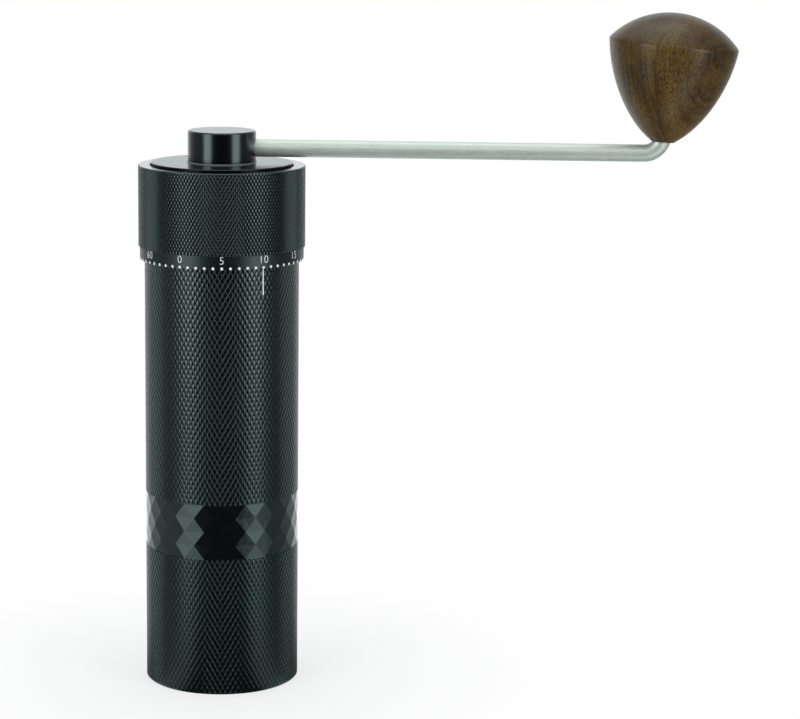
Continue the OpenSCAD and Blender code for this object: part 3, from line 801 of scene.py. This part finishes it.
def knurled_dial():
    """The dial: a plain band for its marks, a knurl above, and the bore and mouth inside"""
    bm = bmesh.new()
    chamfer = 0.25
    edge = 0.2
    knurl_top = DIAL_TOP - chamfer
    outline = [
        (BAND_R, BAND_TOP),
        (BAND_R, DIAL_Z + edge),
        (BAND_R - edge, DIAL_Z),
        (DIAL_SKIRT_R + edge, DIAL_Z),
        (DIAL_SKIRT_R, DIAL_Z + edge),
        (DIAL_SKIRT_R, PLATE_TOP),
        (BORE_R, PLATE_TOP),
        (BORE_R, MOUTH_Z),
        (MOUTH_R, MOUTH_Z),
        (MOUTH_R, DIAL_TOP - edge),
        (MOUTH_R + edge, DIAL_TOP),
        (DIAL_R - chamfer, DIAL_TOP),
    ]
    spun_outline(bm, outline, DIAL_DIAMONDS * 2)
    bmesh.ops.recalc_face_normals(bm, faces=bm.faces)
    add_mesh(bm, knurl(DIAL_R, DIAL_DIAMONDS, DIAL_ROW, BAND_TOP, knurl_top, DIAL_GROOVE))
    knurl_edge = rim(bm, knurl_top, BAND_R, DIAL_R + RIM_MARGIN)
    top_edge = rim(bm, DIAL_TOP, BAND_R - RIM_MARGIN, DIAL_R)
    join_rims(bm, rim(bm, BAND_TOP, BAND_R - RIM_MARGIN, DIAL_R + RIM_MARGIN))
    join_rims(bm, knurl_edge, top_edge)
    bmesh.ops.recalc_face_normals(bm, faces=bm.faces)
    set_edges(bm)
    for face in bm.faces:
        heights = [radius_and_height(vert)[1] for vert in face.verts]
        if max(heights) < BAND_TOP + RIM_LEVEL:
            face.material_index = BAND_FINISH
        elif min(heights) > knurl_top - RIM_LEVEL:
            face.material_index = RIM_FINISH
    finishes = [black, dial_black, black_band, black_rim]
    piece_from(bm, "knurled_dial", "dial", finishes, ["adjustment_dial"])


knurled_dial()


# ---------- marks ----------


def wrap(bm, radius, turn, height):
    """Bends flat work onto a cylinder: x runs round it, y up it and z out of it"""
    for vert in bm.verts:
        x, y, z = vert.co
        angle = turn + x / (radius * MM)
        vert.co = at(radius + z / MM, angle, height + y / MM)


def click_dots():
    """A filled dot for each click, low on the dial's band"""
    bm = bmesh.new()
    base_r, face_r, rise = 0.5, 0.47, 0.5
    bmesh.ops.create_cone(
        bm,
        cap_ends=True,
        segments=16,
        radius1=base_r * MM,
        radius2=face_r * MM,
        depth=MARK_T * MM,
    )
    wrap(bm, BAND_R + MARK_STAND, FIVE_ANGLE, DIAL_Z + rise)
    repeat_round(bm, CLICKS)
    set_edges(bm)
    piece_from(bm, "dial_dots", "dial", [white_mark])


def flat_number(label):
    """One number as flat work, centred over its foot"""
    curve = bpy.data.curves.new("number", "FONT")
    curve.body = str(label)
    curve.align_x = "CENTER"
    curve.size = 3.75 * MM
    curve.space_character = 1.06
    curve.offset = -0.06 * MM
    curve.extrude = MARK_T / 2 * MM
    curve.resolution_u = 6
    text = bpy.data.objects.new("number", curve)
    bpy.context.scene.collection.objects.link(text)
    bpy.context.view_layer.update()
    evaluated = text.evaluated_get(bpy.context.evaluated_depsgraph_get())
    mesh = bpy.data.meshes.new_from_object(evaluated)
    bpy.data.objects.remove(text)
    bpy.data.curves.remove(curve)
    bm = bmesh.new()
    bm.from_mesh(mesh)
    bpy.data.meshes.remove(mesh)
    bmesh.ops.remove_doubles(bm, verts=bm.verts, dist=FINE_MERGE * MM)
    return bm


def dial_numbers():
    """A number at every fifth click, above its dot"""
    bm = bmesh.new()
    foot = 1.95
    for place, label in enumerate(NUMBERS):
        number = flat_number(label)
        turn = FIVE_ANGLE + (place - 1) * NUMBER_STEP * CLICK_ANGLE
        wrap(number, BAND_R + MARK_STAND, turn, DIAL_Z + foot)
        add_mesh(bm, number)
    set_edges(bm)
    piece_from(bm, "dial_numbers", "dial", [white_mark])


def index_line():
    """The upright line on the body that the dial's marks are read against"""
    bm = bmesh.new()
    width, thickness, sunk = 0.42, 0.3, 0.12
    low, high = 141.0, SHOULDER_Z - 0.1
    bmesh.ops.create_cube(bm, size=1)
    bmesh.ops.scale(bm, vec=(width * MM, (high - low) * MM, thickness * MM), verts=bm.verts)
    wrap(bm, BODY_R - sunk, INDEX_ANGLE, (low + high) / 2)
    set_edges(bm)
    piece_from(bm, "index_line", "body", [white_mark])


click_dots()
dial_numbers()
index_line()


# ---------- crank ----------


def hub_foot():
    """The thin pale edge that catches the light where the hub meets the lid"""
    bm = bmesh.new()
    hub_gap, reach = 0.02, 0.26
    lid_gap, rise = 0.01, 0.34
    side_h, bevel_w, bevel_h, lip_w = 0.08, 0.06, 0.16, 0.04
    inner, outer = HUB_R + hub_gap, HUB_R + reach
    low, high = LID_TOP + lid_gap, LID_TOP + rise
    outline = [
        (inner, low),
        (outer, low),
        (outer, low + side_h),
        (outer - bevel_w, low + bevel_h),
        (inner + lip_w, high),
        (inner, high),
    ]
    spun_outline(bm, outline, 128, closed=True)
    bmesh.ops.recalc_face_normals(bm, faces=bm.faces)
    set_edges(bm, sharp_degrees=50)
    piece_from(bm, "hub_foot", "crank", [grey])


hub_foot()


# ---------- knob ----------


def turned_knob():
    """The walnut knob, with a soft edge where its side meets its dome"""
    bm = bmesh.new()
    knob_low = 3.6
    bore_r, bore_end, bore_chamfer, foot = 4.05, 29.7, 0.2, 0.6
    bore = [(0, bore_end), (bore_r, bore_end), (bore_r, foot), (bore_r + bore_chamfer, foot)]

    # The side is one curve, whose pull at each end has a length and a lean from the axis
    neck, neck_lean, neck_pull = Vector((4.57, 0.92, 0)), math.radians(55.2), 11.4
    rim_point, rim_lean, rim_pull = Vector((22.3, 34.4, 0)), math.radians(6.0), 13.2
    neck_handle = neck + neck_pull * Vector((math.sin(neck_lean), math.cos(neck_lean), 0))
    rim_handle = rim_point - rim_pull * Vector((math.sin(rim_lean), math.cos(rim_lean), 0))
    side_points = 28
    curve = interpolate_bezier(neck, neck_handle, rim_handle, rim_point, side_points)
    side = [(point.x, point.y) for point in curve]

    # The dome is an arc from the rim to the axis
    dome_h = 10.5
    dome_steps = 20
    dome_r = (rim_point.x**2 + dome_h**2) / (2 * dome_h)
    half_angle = math.asin(rim_point.x / dome_r)
    apex = rim_point.y + dome_h
    slopes = [half_angle * (1 - i / dome_steps) for i in range(1, dome_steps + 1)]
    dome = [(dome_r * math.sin(a), apex - dome_r * (1 - math.cos(a))) for a in slopes]

    steps_round = 96
    spun_outline(bm, bore + side + dome, steps_round)
    bmesh.ops.remove_doubles(bm, verts=bm.verts, dist=MERGE * MM)
    edge_loop = [
        edge
        for edge in bm.edges
        if all(abs(radius_and_height(vert)[0] - rim_point.x) < LEVEL for vert in edge.verts)
    ]
    bmesh.ops.bevel(
        bm,
        geom=edge_loop,
        offset=0.45 * MM,
        offset_type="OFFSET",
        segments=3,
        profile=0.5,
        affect="EDGES",
        material=-1,
    )
    bmesh.ops.recalc_face_normals(bm, faces=bm.faces)
    place = (
        Matrix.Translation(Vector((KNOB_X, 0, ARM_Z)) * MM)
        @ Matrix.Rotation(KNOB_LEAN, 4, "Y")
        @ Matrix.Translation(UP * knob_low * MM)
    )
    bmesh.ops.transform(bm, matrix=place, verts=bm.verts)
    set_edges(bm, sharp_degrees=40)
    piece_from(bm, "walnut_knob", "knob", [wood], ["crank_knob"])


turned_knob()


# ---------- stage, lamps and camera ----------


# Level directions towards the camera's side and to its right
FRONT = Vector((0.080, -0.997, 0))
RIGHT = Vector((0.997, 0.080, 0))

STUDIO_SHADE = (0.93, 1.0, 0.985)
FLOOR_SHADE = (0.96, 0.96, 0.96)
WHITE = (1, 1, 1)

# Brightness of the studio's walls from the camera's side (0) round to behind the grinder (1)
LEFT_WALL = [(0.09, 0.02), (0.2, 0.24), (0.59, 0.24), (0.77, 0.4), (0.93, 0.85), (1.0, 1.0)]
RIGHT_WALL = [(0.05, 0.02), (0.18, 0.17), (0.6, 0.17), (0.8, 0.34), (0.93, 0.8), (1.0, 1.0)]
WALL_BLEND = (-0.1, 0.1)

# Brightness of the ceiling and of a box high in front, and the spans over which they fade in
CEILING_LEVEL = 0.72
CEILING_SPAN = (0.45, 0.95)
FRONT_BOX_LEVEL = 0.75
FRONT_BOX_HEIGHT_SPAN = (0.28, 0.5)
FRONT_BOX_SIDE_SPAN = (0.3, 0.6)

# Light that the side lamps throw on the floor: where, in degrees from the camera's side, how many
# radians to each side it is full and where it ends, and how bright it is near and further out
POOL_TURNS = (-47, 49)
POOL_HALF_WIDTH = (0.17, 0.3)
POOL_NEAR, POOL_FAR = 50, 250
POOL_LEVEL = 0.72
POOL_NEAR_LEVEL = 0.45 * POOL_LEVEL
POOL_FAR_LEVEL = 1.1 * POOL_LEVEL

# The floor: its radius, how far it lies below the cup, the share of plain white over its shadow
# under the grinder, and how far out the floor is all white
FLOOR_R = 3000
FLOOR_DROP = 0.02
SHADOW_WHITE = 0.6
SHADOW_REACH = 130

# Middle of the grinder, which the lamps face
LAMP_AIM = (20, 0, 115)

CAMERA_LENS = 120.36
CAMERA_PLACE = (74.0, -923.0, 289.9)
CAMERA_YAW = math.radians(0.710)
CAMERA_TILT = math.radians(10.717)
CAMERA_ROLL = math.radians(0.684)


def studio_level(g, way):
    """How bright the studio is in a direction: dark in front, dim at the sides, white behind"""
    front = g.measure("DOT_PRODUCT", way, FRONT)
    right = g.measure("DOT_PRODUCT", way, RIGHT)
    round_to_back = (1 - front) * 0.5
    side = g.remap(right, *WALL_BLEND)
    walls = g.mix(side, g.ramp(round_to_back, LEFT_WALL), g.ramp(round_to_back, RIGHT_WALL))
    height = g.axes(way)["Z"]
    above = g.remap(height, *CEILING_SPAN, 0.0, CEILING_LEVEL)
    box_shape = g.remap(height, *FRONT_BOX_HEIGHT_SPAN) * g.remap(front, *FRONT_BOX_SIDE_SPAN)
    front_box = box_shape * FRONT_BOX_LEVEL
    return g.maths("MAXIMUM", walls, g.maths("MAXIMUM", above, front_box))


def lamp_pools(g, way, distance):
    """How bright the floor is where the light of the two side lamps falls on it"""
    front = g.measure("DOT_PRODUCT", way, FRONT)
    right = g.measure("DOT_PRODUCT", way, RIGHT)
    turn = g.maths("ARCTAN2", right, front)
    left_pool, right_pool = (
        g.remap(g.maths("ABSOLUTE", turn - math.radians(middle)), *POOL_HALF_WIDTH, 1, 0)
        for middle in POOL_TURNS
    )
    level = g.remap(distance, POOL_NEAR * MM, POOL_FAR * MM, POOL_NEAR_LEVEL, POOL_FAR_LEVEL)
    return (left_pool + right_pool) * level


def white_floor():
    """A matt floor that keeps the shadow near the grinder and is part of the studio further out"""
    bm = bmesh.new()
    bmesh.ops.create_circle(bm, cap_ends=True, segments=64, radius=FLOOR_R * MM)
    bmesh.ops.translate(bm, vec=(0, 0, -FLOOR_DROP * MM), verts=bm.verts)
    mesh = bpy.data.meshes.new("floor")
    bm.to_mesh(mesh)
    bm.free()
    material, g = new_finish("floor_white", WHITE)
    place = g.place()
    distance = g.measure("LENGTH", place)
    way = g.vector("NORMALIZE", place)
    path = g.node("LightPath")
    to_camera, to_gloss = path["Is Camera Ray"], path["Is Glossy Ray"]
    faded = g.remap(distance, 0.0, SHADOW_REACH * MM, SHADOW_WHITE, 1.0) * to_camera + to_gloss
    matt = g.node("BsdfDiffuse", None, {"Color": FLOOR_SHADE})["BSDF"]
    level = studio_level(g, way) + lamp_pools(g, way, distance)
    strength = to_camera + (1 - to_camera) * level
    shade = g.mix(to_camera, STUDIO_SHADE, WHITE)
    lit = g.node("Emission", None, {"Color": shade, "Strength": strength})["Emission"]
    g.surface(g.node("MixShader", None, [faded, matt, lit])["Shader"])
    mesh.materials.append(material)
    floor = bpy.data.objects.new("floor", mesh)
    bpy.context.scene.collection.objects.link(floor)


def studio_world():
    """A white backdrop for the camera and a grey studio for everything that reflects it"""
    world = bpy.data.worlds.new("studio")
    world.use_nodes = True
    bpy.context.scene.world = world
    g = Graph(world.node_tree)
    level = studio_level(g, g.node("TexCoord")["Generated"])
    seen = g.node("LightPath")["Is Camera Ray"]
    shade = g.mix(seen, STUDIO_SHADE, WHITE)
    strength = seen + (1 - seen) * level
    light = g.node("Background", None, {"Color": shade, "Strength": strength})["Background"]
    g.node("OutputWorld", None, {"Surface": light})


def softbox(name, azimuth, elevation, distance, width, height, power):
    """A rectangular lamp that faces the middle of the grinder. Azimuth 0 is the camera's side."""
    lamp = bpy.data.lights.new(name, "AREA")
    lamp.shape = "RECTANGLE"
    lamp.size, lamp.size_y = width * MM, height * MM
    lamp.energy = power
    turn, rise = math.radians(azimuth), math.radians(elevation)
    level = math.cos(rise)
    back = Vector((math.sin(turn) * level, -math.cos(turn) * level, math.sin(rise)))
    holder = bpy.data.objects.new(name, lamp)
    holder.location = Vector(LAMP_AIM) * MM + back * distance * MM
    holder.rotation_euler = (-back).to_track_quat("-Z", "Y").to_euler()
    bpy.context.scene.collection.objects.link(holder)


def long_lens_camera():
    """The camera, a little above the grinder and almost square to the arm"""
    lens = bpy.data.cameras.new("camera")
    lens.lens = CAMERA_LENS
    lens.sensor_width = 36
    lens.clip_start, lens.clip_end = 0.05, 20
    holder = bpy.data.objects.new("camera", lens)
    holder.matrix_world = (
        Matrix.Translation(Vector(CAMERA_PLACE) * MM)
        @ Matrix.Rotation(CAMERA_YAW, 4, "Z")
        @ Matrix.Rotation(math.pi / 2 - CAMERA_TILT, 4, "X")
        @ Matrix.Rotation(CAMERA_ROLL, 4, "Z")
    )
    bpy.context.scene.collection.objects.link(holder)
    bpy.context.scene.camera = holder


white_floor()
studio_world()
softbox("softbox_left", azimuth=-46, elevation=8, distance=1100, width=500, height=1300, power=6.6)
softbox("softbox_right", azimuth=52, elevation=8, distance=1100, width=500, height=1300, power=6.4)
softbox("softbox_top", azimuth=180, elevation=75, distance=1200, width=900, height=900, power=2.2)
long_lens_camera()

bpy.context.scene.view_settings.view_transform = "Standard"
